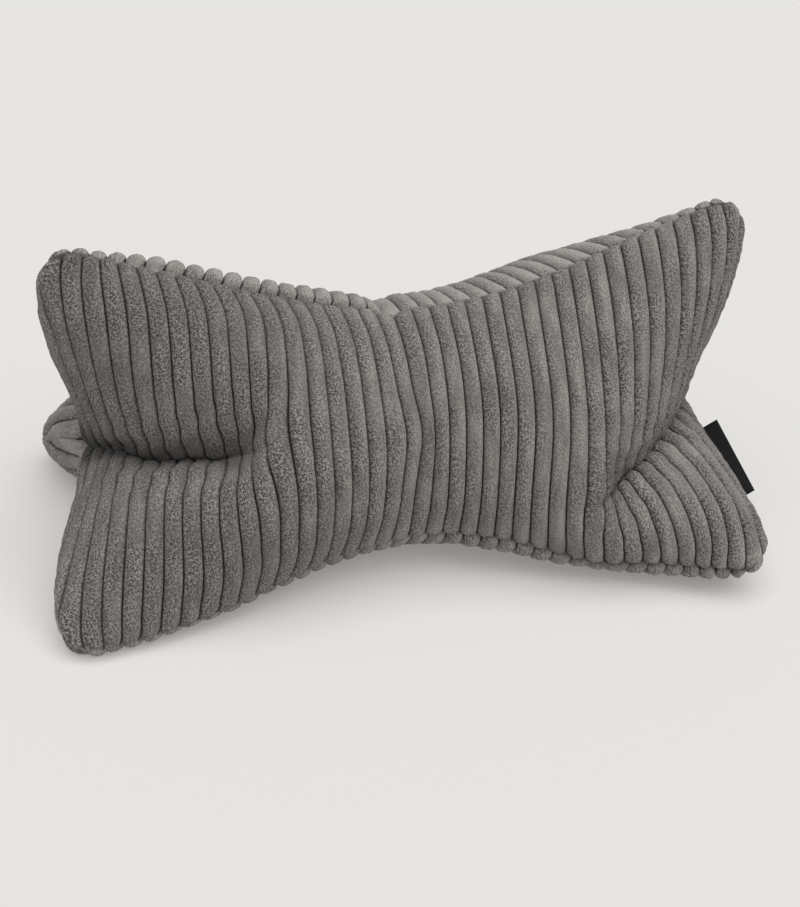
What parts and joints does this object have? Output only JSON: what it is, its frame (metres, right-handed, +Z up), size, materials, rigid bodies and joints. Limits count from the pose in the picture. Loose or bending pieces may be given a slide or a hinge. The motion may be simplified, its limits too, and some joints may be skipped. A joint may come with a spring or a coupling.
{
  "type": "neck pillow",
  "caption": "Bone-shaped neck pillow in taupe-grey wide-wale corduroy with flared lobes at both ends, a drawn-in waist and a small black side label; rests on its base lobes",
  "frame": {"origin": "on the surface that the pillow lies on, under the middle of its outer box", "axes": "+X along the pillow from end to end, +Y to the rear, +Z up; the labelled end is at +X and the front panel faces -Y"},
  "size_m": [0.4628, 0.262, 0.2227],
  "materials": {
    "corduroy": "wide-wale plush corduroy, matt pile, warm taupe grey",
    "label": "plain black woven tape, satin"
  },
  "bodies": {
    "root": {"pillow_body": "corduroy", "side_label": "label"}
  },
  "joints": []
}
